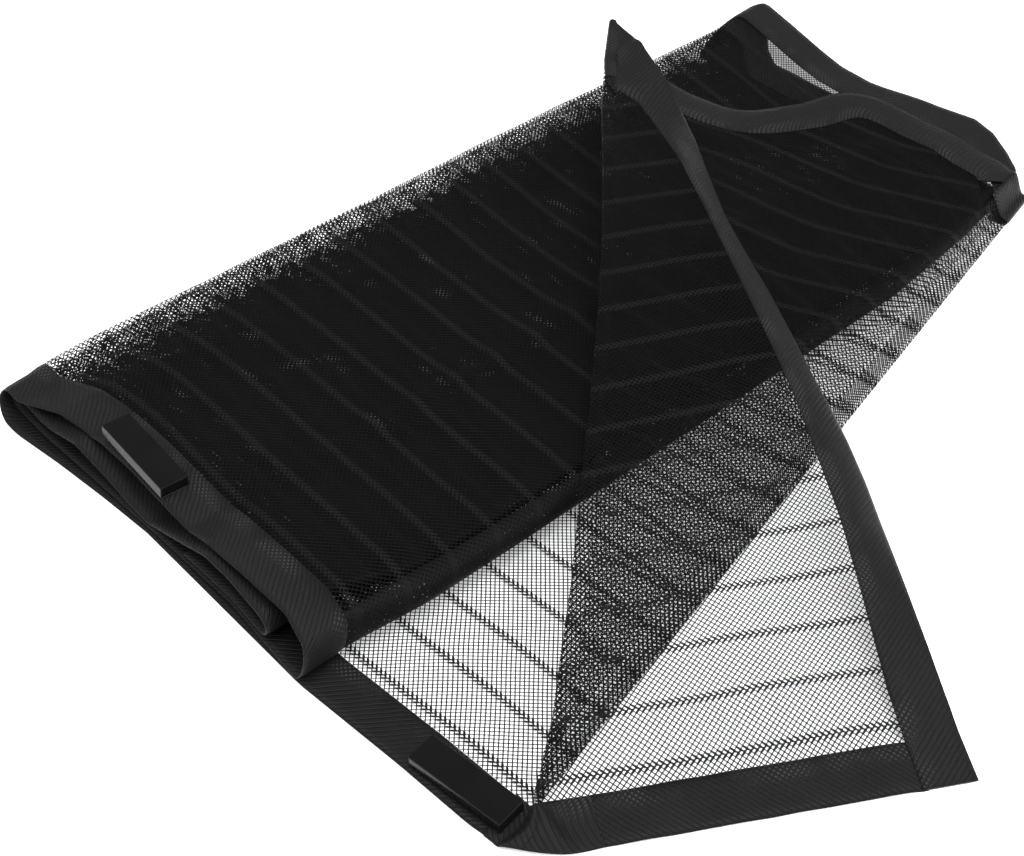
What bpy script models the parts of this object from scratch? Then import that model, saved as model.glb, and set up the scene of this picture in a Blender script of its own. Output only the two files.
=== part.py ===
"""Folded magnetic mesh windscreen / side-window screen.

One rectangle of black net, hemmed on every edge with woven tape.  It is rolled up
into a flat stack, and its free end is folded twice: a leaf turned back over the
stack along the long fold, and a flap turned forward again along a slanted fold.
Units: metres, +Z up.  X runs along the folds, from the magnet end to the plain end.
"""
import math

import bpy
from mathutils import Vector

MM = 0.001

# ---- driving dimensions, millimetres ------------------------------------------
ORIGIN = (244.864, -43.090)  # plan centre of the folded object, in drawing coordinates
NET = 0.8                    # thickness of one ply of net
TAPE = 1.6                   # thickness of the doubled hem tape
HEM = 22.0                   # width of the hem tape
GAP = 0.5                    # clearance between net and tape
SEAM = 0.6                   # clearance between two lengths of tape

Z_BASE = 0.8                 # mid height of the ply that lies on the ground
# heights of the rolled plies at three stations along X: magnet end, beside it, plain end
STATIONS = (0.0, 100.0, 480.0)
LEVELS = {"top": (26.5, 20.5, 15.0), "high": (15.5, 12.0, 8.3),
          "mid": (10.2, 8.2, 5.7), "low": (5.0, 4.4, 3.3)}
# where the far fold starts to turn, by x
FAR_Y = ((-30, 160), (100, 163), (400, 165), (456, 168), (515, 174))
# where the near fold starts to turn, by x
NEAR_Y = ((0, -48), (100, -52), (360, -53), (430, -46), (480, -37))
INNER_Y = 146.0              # where the inner far fold starts to turn
INNER_NEAR_Y = -24.0         # where the inner near fold starts to turn
FREE_END_Y = 34.0            # edge of the sheet's far end, inside the roll

FOLD_K = (-7.0, -166.0)      # where the long fold leaves the magnet edge
FOLD_R = (474.0, -52.0)      # where the long fold leaves the plain edge
FOLD_Z = 2.6                 # height of the long fold's axis
LEAF_OFF = 1.8               # leaf and flap lie this far from their fold axis
SLANT_A = (2.0, -166.0, 6.0)     # low end of the slanted fold
SLANT_B = (371.0, 167.0, 65.0)   # raised tip, at the high end of the slanted fold
DRAPE_UP = 2.0               # leaf above the top ply
DRAPE_RUN = 12.0             # the leaf starts to climb this far in front of the stack
PLY_STEP = 3.6               # flap above leaf
TENT_POWER = 1.2             # how closely the leaf hugs the stack beside the slanted fold
TIP_SAG = 18.0               # how far the leaf hangs below the raised tip
# height of the flap's end hem, by distance from the flap's other hem: it rises evenly
# from the ground to the stack, then up to the tip
FLAP_RISE = ((0, 1.1), (22, 3.5), (100, 21), (190, 38), (300, 46), (400, 56), (494, 65))

MAGNET = (48.0, 14.5, 6.0)   # length, width, height
MAGNET_PAD = 0.6             # thickness of the sewn patch under a magnet
PAD_MARGIN = 1.5
MAGNET_BASE = (-0.5, -137.0, 8.0)    # plan position and turn, on the base ply's hem
MAGNET_TOP = (-4.5, 79.0, -0.5)      # the same, on the top ply's hem

# hem outlines in plan: (y, x of the outer edge)
EDGE_A_BASE = ((-166, -7), (-150, -10), (-111, -13), (-52, -19), (63, -20), (95, -23),
               (128, -27), (160, -32))
EDGE_A_TOP = ((-50, -13), (0, -14), (118, -15), (136, -18), (160, -27))
EDGE_A_INNER = ((-50, -16), (60, -19), (146, -24))
EDGE_D_BASE = ((-49, 486), (-30, 484), (0, 481), (82, 470), (107, 467), (160, 484))
EDGE_D_TOP = ((-50, 478), (-27, 498), (-3, 509), (32, 508), (76, 501), (98, 503), (142, 513),
              (175, 522))
EDGE_D_INNER = ((-50, 472), (40, 476), (146, 470))
# the leaf's plain edge, from the long fold to the tip, and the flap's end hem
LEAF_EDGE = ((474, -52), (485, -38), (488, -14), (489, 5), (485, 30), (475, 55), (457, 69),
             (430, 75), (398, 89), (387, 113), (381, 142), (371, 167))
FLAP_EDGE = ((154, -269), (165, -251), (196, -199), (229, -142), (255, -90), (287, -29),
             (312, 26), (340, 72), (354, 103), (366, 133), (371, 167))
FLAP_HEEL = (8.0, -184.0)    # corner of the flap's hem beside the folds
# the leaf and the flap are built in rows at these y, closest where they climb the stack
ROWS = (-145, -130, -110, -92, -80, -72, -68, -65, -62, -59, -56, -53, -50, -47, -42,
        -34, -20, 0, 20, 34, 43, 49, 55, 62, 72, 85, 100)


# ---- small helpers -------------------------------------------------------------
def clamp(t):
    return max(0.0, min(1.0, t))


def smooth(t):
    t = clamp(t)
    return t * t * (3.0 - 2.0 * t)


def mix(a, b, t):
    return a + (b - a) * t


def table(rows, y):
    """Straight-line reading of an edge outline."""
    for (y0, x0), (y1, x1) in zip(rows, rows[1:]):
        if y <= y1:
            return mix(x0, x1, clamp((y - y0) / (y1 - y0)))
    return rows[-1][1]


def along(points, t):
    """Point on a smooth curve through the given points, t from 0 to 1."""
    last = len(points) - 1
    i = min(int(t * last), last - 1)
    u = t * last - i
    p = [Vector(points[max(0, min(last, k))]) for k in range(i - 1, i + 3)]
    return 0.5 * (2 * p[1] + (p[2] - p[0]) * u
                  + (2 * p[0] - 5 * p[1] + 4 * p[2] - p[3]) * u * u
                  + (3 * p[1] - p[0] - 3 * p[2] + p[3]) * u * u * u)


def inward(points, t, width):
    """The same curve moved inwards, to the left of its direction."""
    a, b = along(points, max(0.0, t - 0.02)), along(points, min(1.0, t + 0.02))
    d = (b - a).normalized()
    return along(points, t) + Vector((-d.y, d.x)) * width


# ---- heights of the plies --------------------------------------------------------
def level(name, x):
    """Height of one rolled ply at x."""
    a, b, c = LEVELS[name]
    first, middle, last = STATIONS
    if x < middle:
        return mix(a, b, clamp((x - first) / (middle - first)))
    return mix(b, c, clamp((x - middle) / (last - middle)))


def near_c(x):
    """Where the near fold starts to turn; it draws in a little at the plain end."""
    return table(NEAR_Y, x)


def far_y(x):
    return table(FAR_Y, x)


def near_y(x):
    """Outermost line of the near fold."""
    return near_c(x) - 0.5 * (level("top", x) - level("low", x))


FOLD_DIR = (Vector(FOLD_R) - Vector(FOLD_K)).normalized()
SLANT_DIR = (Vector(SLANT_B[:2]) - Vector(SLANT_A[:2])).normalized()
SLANT_LEN = (Vector(SLANT_B[:2]) - Vector(SLANT_A[:2])).length
FLAP_SIDE = (Vector(FLAP_EDGE[0]) - Vector(FLAP_HEEL)).normalized()
FLAP_WIDTH = (Vector(FLAP_EDGE[0]) - Vector(FLAP_HEEL)).length


def past_fold(x, y):
    """Signed distance behind the long fold, positive on the stack's side."""
    dx, dy = x - FOLD_K[0], y - FOLD_K[1]
    return FOLD_DIR.x * dy - FOLD_DIR.y * dx


def past_slant(x, y):
    """Distance to the right of the slanted fold."""
    dx, dy = x - SLANT_A[0], y - SLANT_A[1]
    return SLANT_DIR.y * dx - SLANT_DIR.x * dy


def slant_z(x, y):
    dx, dy = x - SLANT_A[0], y - SLANT_A[1]
    t = clamp((dx * SLANT_DIR.x + dy * SLANT_DIR.y) / SLANT_LEN)
    return mix(SLANT_A[2], SLANT_B[2], t)


def drape_z(x, y):
    """A ply that lies on the ground and climbs over the stack's near fold."""
    low = FOLD_Z + LEAF_OFF
    inside = y - near_y(x)
    start = max(-DRAPE_RUN, inside - past_fold(x, y) + 0.5)
    end = 4.0 - 2.0 * clamp((x - 340) / 140)
    return mix(low, level("top", x) + DRAPE_UP, smooth((inside - start) / (end - start)))


def leaf_z(x, y):
    low = FOLD_Z + LEAF_OFF
    f, s = max(0.0, past_fold(x, y)), max(0.0, past_slant(x, y))
    ratio = f / (f + s) if f + s > 0 else 0.0
    sag = TIP_SAG * (1 - math.exp(-s / 12)) * smooth((y - 40) / 100)
    tent = mix(low, slant_z(x, y) - LEAF_OFF - sag, ratio ** TENT_POWER)
    return max(tent, drape_z(x, y))


def flap_place(x, y):
    """Distance along the flap's side hem from its heel, and behind that hem."""
    dx, dy = x - FLAP_HEEL[0], y - FLAP_HEEL[1]
    return dx * FLAP_SIDE.x + dy * FLAP_SIDE.y, dy * FLAP_SIDE.x - dx * FLAP_SIDE.y


def flap_z(x, y):
    u, v = flap_place(x, y)
    s, c = max(0.0, past_slant(x, y)), max(1.0, FLAP_WIDTH - u)
    edge = table(FLAP_RISE, v)
    crease = mix(edge, slant_z(x, y) + LEAF_OFF, smooth(v / 40))
    rise = mix(crease, edge, s / (s + c))
    over = max(leaf_z(x, y) + PLY_STEP, rise)
    return mix(over, rise, smooth(-past_fold(x, y) / 28.0))


# ---- solids ------------------------------------------------------------------------
def material(name, colour, roughness, metallic=0.0):
    mat = bpy.data.materials.new(name)
    mat.use_nodes = True
    bsdf = mat.node_tree.nodes["Principled BSDF"]
    bsdf.inputs["Base Color"].default_value = (*colour, 1.0)
    bsdf.inputs["Roughness"].default_value = roughness
    bsdf.inputs["Metallic"].default_value = metallic
    return mat


def axis_empty(name, point, parent=None):
    empty = bpy.data.objects.new(name, None)
    bpy.context.scene.collection.objects.link(empty)
    world = Vector((point[0] - ORIGIN[0], point[1] - ORIGIN[1], point[2])) * MM
    empty["world"] = world
    empty.parent = parent
    empty.location = world - (Vector(parent["world"]) if parent else Vector())
    return empty


def add_object(name, verts, faces, look, parent=None):
    """Make a mesh object whose origin is its parent's axis, or the object's own origin."""
    pivot = Vector(parent["world"]) if parent else Vector()
    shift = Vector((ORIGIN[0], ORIGIN[1], 0.0))
    mesh = bpy.data.meshes.new(name)
    mesh.from_pydata([(Vector(v) - shift) * MM - pivot for v in verts], [], faces)
    mesh.materials.append(material(name, *look))
    obj = bpy.data.objects.new(name, mesh)
    obj.parent = parent
    bpy.context.scene.collection.objects.link(obj)
    return obj


def ply(name, surface, nu, nv, thick, look, parent=None):
    """Closed thin solid round a surface(u, v) given in millimetres."""
    mid = [[Vector(surface(i / nu, j / nv)) for j in range(nv + 1)] for i in range(nu + 1)]
    verts, faces = [], []
    for side in (0.5, -0.5):
        for i in range(nu + 1):
            for j in range(nv + 1):
                du = mid[min(i + 1, nu)][j] - mid[max(i - 1, 0)][j]
                dv = mid[i][min(j + 1, nv)] - mid[i][max(j - 1, 0)]
                verts.append(mid[i][j] + du.cross(dv).normalized() * thick * side)
    row, layer = nv + 1, (nu + 1) * (nv + 1)
    for i in range(nu):
        for j in range(nv):
            a, b, c, d = (i * row + j, (i + 1) * row + j,
                          (i + 1) * row + j + 1, i * row + j + 1)
            faces.append((a, b, c, d))
            faces.append((a + layer, d + layer, c + layer, b + layer))
    rim = [i * row for i in range(nu)] + [nu * row + j for j in range(nv)]
    rim += [i * row + nv for i in range(nu, 0, -1)] + list(range(nv, 0, -1))
    for a, b in zip(rim, rim[1:] + rim[:1]):
        faces.append((a, a + layer, b + layer, b))
    return add_object(name, verts, faces, look, parent)


def block(name, centre, turn, size, look, parent=None):
    """Square-edged block, turned in plan, standing on centre."""
    c, s = math.cos(math.radians(turn)), math.sin(math.radians(turn))
    verts = []
    for z in (0.0, size[2]):
        for px, py in ((-0.5, -0.5), (0.5, -0.5), (0.5, 0.5), (-0.5, 0.5)):
            x, y = px * size[1], py * size[0]
            verts.append((centre[0] + c * x - s * y, centre[1] + s * x + c * y,
                          centre[2] + z))
    faces = [(3, 2, 1, 0), (4, 5, 6, 7)]
    faces += [(k, (k + 1) % 4, (k + 1) % 4 + 4, k + 4) for k in range(4)]
    return add_object(name, verts, faces, look, parent)


NET_LOOK = ((0.012, 0.012, 0.013), 0.75)
TAPE_LOOK = ((0.02, 0.02, 0.022), 0.6)
MAGNET_LOOK = ((0.006, 0.006, 0.007), 0.22)
PAD_LOOK = ((0.015, 0.015, 0.016), 0.8)


def turn(y, z0, z1, side):
    """Cross-section of a fold: half a circle from z1 down to z0, bulging to side."""
    radius = 0.5 * (z1 - z0)

    def at(t):
        angle = math.pi * t
        return y + side * radius * math.sin(angle), 0.5 * (z0 + z1) + radius * math.cos(angle)
    return at


def strip_set(stem, section, edge_a, edge_d, steps_x, steps_y):
    """Net between the two hems and the two hem tapes, over section(x, t) -> (y, z)."""
    def band(x_at):
        def surface(u, v):
            y_guess = section(0.0, v)[0]
            x = x_at(u, y_guess)
            y, z = section(x, v)
            return (x, y, z)
        return surface

    a_out, d_out = (lambda y: table(edge_a, y)), (lambda y: table(edge_d, y))
    ply("net_" + stem, band(lambda u, y: mix(a_out(y) + HEM + GAP, d_out(y) - HEM - GAP, u)),
        steps_x, steps_y, NET, NET_LOOK)
    ply("tape_a_" + stem, band(lambda u, y: mix(a_out(y), a_out(y) + HEM, u)),
        2, steps_y, TAPE, TAPE_LOOK)
    ply("tape_d_" + stem, band(lambda u, y: mix(d_out(y) - HEM, d_out(y), u)),
        2, steps_y, TAPE, TAPE_LOOK)


def build_stack():
    """The rolled part: base ply, far fold, top ply, near fold and the inner plies."""
    def top(x):
        return level("top", x)

    def high(x):
        return level("high", x)

    def middle(x):
        return level("mid", x)

    def low(x):
        return level("low", x)

    def at(y):
        return lambda x: y

    def flat(y0, y1, height):
        return lambda x, t: (mix(y0(x), y1(x), t), height(x))

    def bend(y, z0, z1, side):
        return lambda x, t: turn(y(x), z0(x), z1(x), side)(0.03 + 0.94 * t)

    inner = EDGE_A_INNER, EDGE_D_INNER
    outer = EDGE_A_TOP, EDGE_D_TOP
    strip_set("far_fold", bend(far_y, at(Z_BASE), top, 1), *outer, 10, 8)
    strip_set("top", flat(lambda x: near_c(x) + SEAM, lambda x: far_y(x) - SEAM, top),
              *outer, 16, 12)
    strip_set("near_fold", bend(near_c, low, top, -1), *outer, 10, 8)
    strip_set("inner_low", flat(at(INNER_Y - SEAM), lambda x: near_c(x) + 2.0, low),
              *inner, 8, 4)
    strip_set("inner_far_fold", bend(at(INNER_Y), low, high, 1), *inner, 8, 6)
    strip_set("inner_high", flat(at(INNER_NEAR_Y + SEAM), at(INNER_Y - SEAM), high),
              *inner, 8, 4)
    strip_set("inner_near_fold", bend(at(INNER_NEAR_Y), middle, high, -1), *inner, 8, 6)
    strip_set("inner_mid", flat(at(FREE_END_Y - HEM - GAP), at(INNER_NEAR_Y + SEAM), middle),
              *inner, 8, 2)

    def free_end(u, v):
        y = FREE_END_Y - HEM * (1.0 - v)
        x = mix(table(EDGE_A_INNER, y), table(EDGE_D_INNER, y), u)
        return (x, y, level("mid", x))
    ply("tape_b_inner", free_end, 10, 1, TAPE, TAPE_LOOK)

    def base_point(x, v):
        y0 = FOLD_K[1] + (x - FOLD_K[0]) * FOLD_DIR.y / FOLD_DIR.x + SEAM
        return y0, mix(y0, far_y(x) - SEAM, v)

    def base(x_at):
        def surface(u, v):
            x = 0.0
            for _ in range(4):
                x = x_at(u, base_point(x, v)[1])
            return (x, base_point(x, v)[1], Z_BASE)
        return surface

    def a_base(y):
        return table(EDGE_A_BASE, y)

    def d_base(y):
        return table(EDGE_D_BASE, y)

    ply("net_base", base(lambda u, y: mix(a_base(y) + HEM + GAP, d_base(y) - HEM - GAP, u)),
        16, 12, NET, NET_LOOK)
    ply("tape_a_base", base(lambda u, y: mix(a_base(y), a_base(y) + HEM, u)),
        2, 12, TAPE, TAPE_LOOK)
    ply("tape_d_base", base(lambda u, y: mix(d_base(y) - HEM, d_base(y), u)),
        2, 12, TAPE, TAPE_LOOK)


def build_magnets():
    """Two block magnets on the magnet-end hem, each on a sewn patch."""
    top = level("top", MAGNET_TOP[0]) + 0.5 * TAPE
    for stem, (x, y, turned), hem_z in (("base", MAGNET_BASE, TAPE), ("top", MAGNET_TOP, top)):
        pad_z = hem_z + 0.3
        block("magnet_pad_" + stem, (x, y, pad_z), turned,
              (MAGNET[0] + 2 * PAD_MARGIN, MAGNET[1] + 2 * PAD_MARGIN, MAGNET_PAD), PAD_LOOK)
        block("magnet_" + stem, (x, y, pad_z + MAGNET_PAD + 0.3), turned, MAGNET, MAGNET_LOOK)


def rows(name, levels, left, right, steps, height, thick, look, parent):
    """Ply built in rows of constant y, so that plies lying on each other match."""
    def surface(u, v):
        y = levels[round(u * (len(levels) - 1))]
        x = mix(left(y), right(y), v)
        return (x, y, height(x, y))
    ply(name, surface, len(levels) - 1, steps, thick, look, parent)


def by_y(points):
    """A curve given as points, as a table of (y, x)."""
    return tuple(sorted((p[1], p[0]) for p in points))


def samples(curve, count):
    return [curve(k / count) for k in range(count + 1)]


def slant_x(y):
    return SLANT_A[0] + (y - SLANT_A[1]) * SLANT_DIR.x / SLANT_DIR.y


def build_leaf(parent):
    """Second ply: turned back over the stack along the long fold."""
    inner = by_y(samples(lambda t: inward(LEAF_EDGE, t, HEM + 3 * GAP), 60))

    def right(y):
        fold_x = FOLD_K[0] + (y - FOLD_K[1] - SEAM) * FOLD_DIR.x / FOLD_DIR.y
        return min(fold_x, table(inner, y))

    levels = (-157,) + ROWS + (120, 140, 150)
    rows("net_leaf", levels, slant_x, right, 20, leaf_z, NET, NET_LOOK, parent)

    def hem(u, v):
        t = mix(0.004, 0.985, mix(v, v * v, 0.6))
        p = inward(LEAF_EDGE, t, mix(HEM * mix(1.0, 0.35, smooth((t - 0.85) / 0.15)), 0.0, u))
        return (p.x, p.y, leaf_z(p.x, p.y))
    ply("tape_d_leaf", hem, 3, 40, TAPE, TAPE_LOOK, parent)


def build_flap(parent):
    """Third ply: the free end, turned forward along the slanted fold."""
    heel, corner = Vector(FLAP_HEEL), Vector(FLAP_EDGE[0])
    side, up = FLAP_SIDE, Vector((-FLAP_SIDE.y, FLAP_SIDE.x))
    outer = by_y(samples(lambda t: along(FLAP_EDGE, t), 40))
    inner = by_y(samples(lambda t: inward(FLAP_EDGE, t, HEM + GAP), 40))
    start = heel + up * (HEM + GAP)
    end = start + side * 155.0
    foot = ((end.y, end.x), (start.y, start.x), (-156.0, slant_x(-156.0) + 0.8))

    def left(y):
        return table(foot, y) if y < -156.0 else slant_x(y) + 0.8

    levels = (-237, -220, -200, -180, -165, -156) + ROWS + (120, 140)
    rows("net_flap", levels, left, lambda y: table(inner, y), 20, flap_z,
         NET, NET_LOOK, parent)

    reach = FLAP_WIDTH - HEM - 1.2
    join = heel + side * (reach + SEAM)
    join_in = join + up * HEM
    mitre = ((corner.y, corner.x - 0.5), (join.y, join.x), (join_in.y, join_in.x))

    def hem_x(y):
        if y < join_in.y:
            return table(mitre, y)
        return max(table(inner, y), slant_x(y)) + GAP * 1.2

    rows("tape_c_flap", (-268, join.y, -248, join_in.y) + levels[1:] + (155, 168), hem_x,
         lambda y: table(outer, y), 3, flap_z, TAPE, TAPE_LOOK, parent)

    def side_hem(u, v):
        p = heel + side * mix(4.0 * u, reach, v) + up * HEM * u
        return (p.x, p.y, flap_z(p.x, p.y))
    ply("tape_a_flap", side_hem, 3, 14, TAPE, TAPE_LOOK, parent)


def main():
    for obj in list(bpy.data.objects):
        bpy.data.objects.remove(obj, do_unlink=True)
    build_stack()
    build_magnets()
    leaf_axis = axis_empty("leaf_open_axis", (*FOLD_K, FOLD_Z))
    flap_axis = axis_empty("flap_lift_axis", SLANT_A, leaf_axis)
    build_leaf(leaf_axis)
    build_flap(flap_axis)


main()
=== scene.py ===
"""Looks of the folded magnetic mesh screen, over the CAD frame.

Drawing coordinates are millimetres: X along the roll, Y towards its far fold, Z up.
Net plies are single surfaces with an open lattice in their material. Hems are thin closed
bands. Both are laid out from a few outlines and height functions.
"""

import math

import bmesh
import bpy
import numpy as np
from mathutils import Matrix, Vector


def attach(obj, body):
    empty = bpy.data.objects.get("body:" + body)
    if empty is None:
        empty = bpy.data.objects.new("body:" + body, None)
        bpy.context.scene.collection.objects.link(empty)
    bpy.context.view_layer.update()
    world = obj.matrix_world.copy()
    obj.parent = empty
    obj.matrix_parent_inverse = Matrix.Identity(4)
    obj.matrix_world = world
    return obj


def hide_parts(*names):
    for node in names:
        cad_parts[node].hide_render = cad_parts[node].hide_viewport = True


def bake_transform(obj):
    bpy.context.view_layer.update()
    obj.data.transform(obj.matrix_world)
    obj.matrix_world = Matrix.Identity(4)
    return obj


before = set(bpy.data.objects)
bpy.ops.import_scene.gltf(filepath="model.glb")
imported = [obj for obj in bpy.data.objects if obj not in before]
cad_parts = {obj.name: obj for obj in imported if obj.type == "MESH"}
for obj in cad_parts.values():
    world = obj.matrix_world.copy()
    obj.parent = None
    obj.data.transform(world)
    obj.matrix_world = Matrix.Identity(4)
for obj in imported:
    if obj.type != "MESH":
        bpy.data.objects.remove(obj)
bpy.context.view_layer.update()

# ---- layout, millimetres ------------------------------------------------------------------
ORIGIN = np.array((244.864, -43.090, 0.0))
WIDTH = 500.0                    # the sheet, hem to hem
HEM = 22.0
FOLD_K = np.array((-7.0, -166.0))
FOLD_R = np.array((474.0, -52.0))
FOLD_Z = 2.6                     # height of the long fold's axis
LEAF_OFF = 1.8                   # how far leaf and flap lie from the axis of their fold
SLANT_A = np.array((14.0, -161.0, 6.0))
SLANT_B = np.array((371.0, 167.0, 65.0))
# where the far fold starts to turn, by x, and the same for the inner plies; where the near
# fold starts to turn
FAR_Y = ((-30, 168), (0, 171), (50, 171), (100, 172.5), (200, 173), (300, 175.5), (400, 175.5),
         (456, 175.5), (480, 176), (515, 179))
INNER_FAR = ((-20, 170), (80, 173.5), (380, 176.5), (450, 176), (515, 179))
NEAR_C = ((0, -50), (100, -52), (360, -53), (430, -46), (480, -37))
Z_BASE = 0.9
OVER_TOP = 2.2                   # clearance of the leaf over the roll
TENT_POWER = 1.2                 # how closely the leaf hugs the roll beside the slanted fold
TIP_SAG = 18.0                   # how far the leaf hangs below the raised tip
BOW_FOLLOW = 0.67                # how much of the slanted fold's bow its sides follow

# hem outlines in plan: (y, x of the outer edge)
EDGE_A_BASE = ((-166, -7), (-150, -10), (-111, -13), (-52, -19), (63, -20), (95, -23),
               (128, -27), (160, -32))
EDGE_A_TOP = ((-50, -15), (-38, -13), (0, -14), (118, -15), (136, -18), (160, -27))
EDGE_A_INNER = ((-50, -20), (0, -17), (60, -19), (146, -24))
EDGE_D_BASE = ((-49, 488), (-30, 484), (0, 481), (82, 470), (107, 467), (160, 484))
EDGE_D_TOP = ((-50, 482), (-40, 490), (-25, 501), (-8, 511), (8, 515), (30, 510), (76, 502),
              (98, 503), (142, 513), (175, 522))
EDGE_D_INNER = ((-50, 474), (0, 482), (60, 481), (85, 480), (100, 477), (128, 475), (144, 486),
                (152, 495), (162, 502), (178, 507))
# hem edges of the turned-back leaf, from the long fold to the tip
LEAF_EDGE = ((474, -52), (486, -38), (488, -14), (490, 5), (486, 30), (476, 55), (459, 68),
             (430, 73.5), (398, 87), (387, 112), (381, 142), (371, 167))
# the flap, by distance behind its side hem: outer and inner edge of its end hem, height of
# that hem, and how far the hem's outer side hangs below it
FLAP_HEEL = np.array((8.0, -184.0))
FLAP_CORNER = np.array((154.0, -269.0))
FLAP_OUT = ((0, 169), (81, 169.5), (147, 170), (169, 169), (205, 166), (239, 165), (274, 163),
            (306, 160), (334, 157.5), (389, 157.5), (405, 156), (422, 155), (436, 153),
            (454, 150), (470, 145), (486, 137))
FLAP_IN = ((0, 146), (45, 146), (90, 149.5), (125, 152), (190, 152), (240, 151), (286, 149),
           (324, 147), (364, 144), (394, 138), (412, 134), (428, 124), (444, 112), (486, 80))
FLAP_RISE = ((0, 1.1), (22, 3.5), (100, 21), (190, 38), (300, 46), (400, 56), (494, 65))
FLAP_HANG = ((60, 0), (90, 3), (125, 8), (190, 8.5), (240, 12), (286, 13), (324, 15), (364, 13),
             (394, 8), (412, 3), (428, 0))
MAGNET = (48.0, 14.5, 6.0)
MAGNET_BASE = (-0.5, -137.0, 8.0)    # x, y, degrees turned
MAGNET_TOP = (-6.5, 77.8, 0.5)
HEM_THICK = 1.3

# height of each rolled ply at three stations along X
STATIONS = (-5.0, 100.0, 480.0)
LEVELS = {"top": (26.5, 20.5, 15.0), "high": (15.5, 12.0, 8.3),
          "mid": (9.6, 8.2, 5.7), "low": (4.8, 4.4, 3.3)}
# waves of the top ply and of the upper inner ply at the magnet end: (y, lift)
TOP_WAVE = ((-50, -1.5), (-42, 1.5), (-36, 3.0), (-6, 2.6), (19, 0.0), (33, -4.0), (59, -2.0),
            (80, 0.0), (103, -1.5), (113, -4.5), (136, -4.0), (160, -7.5))
HIGH_WAVE = ((-24, 6.5), (16, 7.5), (40, -1.0), (62, -8.0), (77, -5.5), (90, -1.0),
             (116, 4.6), (130, 1.0), (146, -4.0), (166, -7.0))
# how far the upper inner ply climbs towards the top one beside the far fold, by x
FAR_LIFT = ((-30, 5.5), (100, 6.3), (400, 5.0), (465, 0.4))
# how far the slanted fold bows to the right of its straight axis: (y, dx)
BOW = ((-162, 0), (-156, 4), (-140, 8.4), (-120, 9.7), (-98, 12), (-66, 11.8), (-30, 12.7),
       (10, 12.4), (46, 10.6), (73, 7), (94, 4.1), (113, 0.8), (132, -0.5), (144, -1.0),
       (167, 0))


# ---- small helpers ------------------------------------------------------------------------
def smooth(t):
    t = np.clip(t, 0.0, 1.0)
    return t * t * (3.0 - 2.0 * t)


def mix(a, b, t):
    return a + (b - a) * t


def table(rows, y):
    a = np.array(rows, float)
    return np.interp(y, a[:, 0], a[:, 1])


def curve(points, t):
    """Smooth curve through plan points; t is an array from 0 to 1."""
    p = np.array(points, float)
    last = len(p) - 1
    s = np.clip(np.asarray(t, float), 0, 1) * last
    i = np.minimum(s.astype(int), last - 1)
    u = (s - i)[..., None]
    a, b, c, d = (p[np.clip(i + k, 0, last)] for k in (-1, 0, 1, 2))
    return 0.5 * (2 * b + (c - a) * u + (2 * a - 5 * b + 4 * c - d) * u * u
                  + (3 * b - a - 3 * c + d) * u ** 3)


def inward(points, t, width):
    """The curve moved to the left of its direction by width."""
    t = np.asarray(t, float)
    d = curve(points, np.minimum(t + 0.02, 1)) - curve(points, np.maximum(t - 0.02, 0))
    d /= np.linalg.norm(d, axis=-1, keepdims=True)
    w = np.asarray(width, float)[..., None]
    return curve(points, t) + np.stack((-d[..., 1], d[..., 0]), -1) * w


def ripple(x, y, size, seed):
    """Smooth small-scale unevenness between -1 and 1."""
    rng = np.random.default_rng(seed)
    total = np.zeros(np.broadcast(x, y).shape)
    for _ in range(6):
        angle, phase = rng.uniform(0, 2 * math.pi, 2)
        k = 2 * math.pi / size * rng.uniform(0.6, 1.6)
        total += np.sin(k * (x * math.cos(angle) + y * math.sin(angle)) + phase)
    return total / 4.0


def unit(v):
    return v / np.linalg.norm(v)


FOLD_DIR = unit(FOLD_R - FOLD_K)
SLANT_DIR = unit((SLANT_B - SLANT_A)[:2])
SLANT_LEN = np.linalg.norm((SLANT_B - SLANT_A)[:2])


# ---- heights ------------------------------------------------------------------------------
def level(name, x):
    return np.interp(x, STATIONS, LEVELS[name])


def end_waves(x):
    """How much of the magnet end's waves is left at x."""
    return np.exp(-np.clip(x + 12.0, 0.0, None) / 42.0)


def top_z(x, y):
    ridge = 2.4 * np.exp(-((y - 36.0 + 0.02 * x) / 9.0) ** 2)
    ridge = ridge * smooth((x - 20) / 70) * smooth((470 - x) / 60)
    sag = 1.5 * smooth((y - 40) / 30) * smooth((150 - y) / 40) * smooth((x - 30) / 80)
    return (level("top", x) + end_waves(x) * table(TOP_WAVE, y) + ridge - sag
            + 0.35 * ripple(x, y, 70, 3) * smooth((x + 10) / 50))


def high_z(x, y):
    lift = 4.5 * smooth((x - 400) / 70) * smooth((y - 60) / 60)
    lift = lift + table(FAR_LIFT, x) * smooth((y - 132) / 28)
    return level("high", x) + end_waves(x) * table(HIGH_WAVE, y) + lift


def mid_z(x, y):
    return level("mid", x) + 0.0 * y


def low_z(x, y):
    return level("low", x) + 0.0 * y


def base_z(x, y):
    return Z_BASE + 0.0 * x


def near_c(x):
    return table(NEAR_C, x)


def near_y(x):
    return near_c(x) - 0.5 * (top_z(x, near_c(x)) - low_z(x, 0.0))


def fold_y(x):
    return FOLD_K[1] + (x - FOLD_K[0]) * FOLD_DIR[1] / FOLD_DIR[0]


def past_fold(x, y):
    return FOLD_DIR[0] * (y - FOLD_K[1]) - FOLD_DIR[1] * (x - FOLD_K[0])


def past_slant(x, y):
    return SLANT_DIR[1] * (x - SLANT_A[0]) - SLANT_DIR[0] * (y - SLANT_A[1])


def slant_z(x, y):
    t = (x - SLANT_A[0]) * SLANT_DIR[0] + (y - SLANT_A[1]) * SLANT_DIR[1]
    return mix(SLANT_A[2], SLANT_B[2], np.clip(t / SLANT_LEN, 0, 1))


def bow(y):
    return table(BOW, y)


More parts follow.
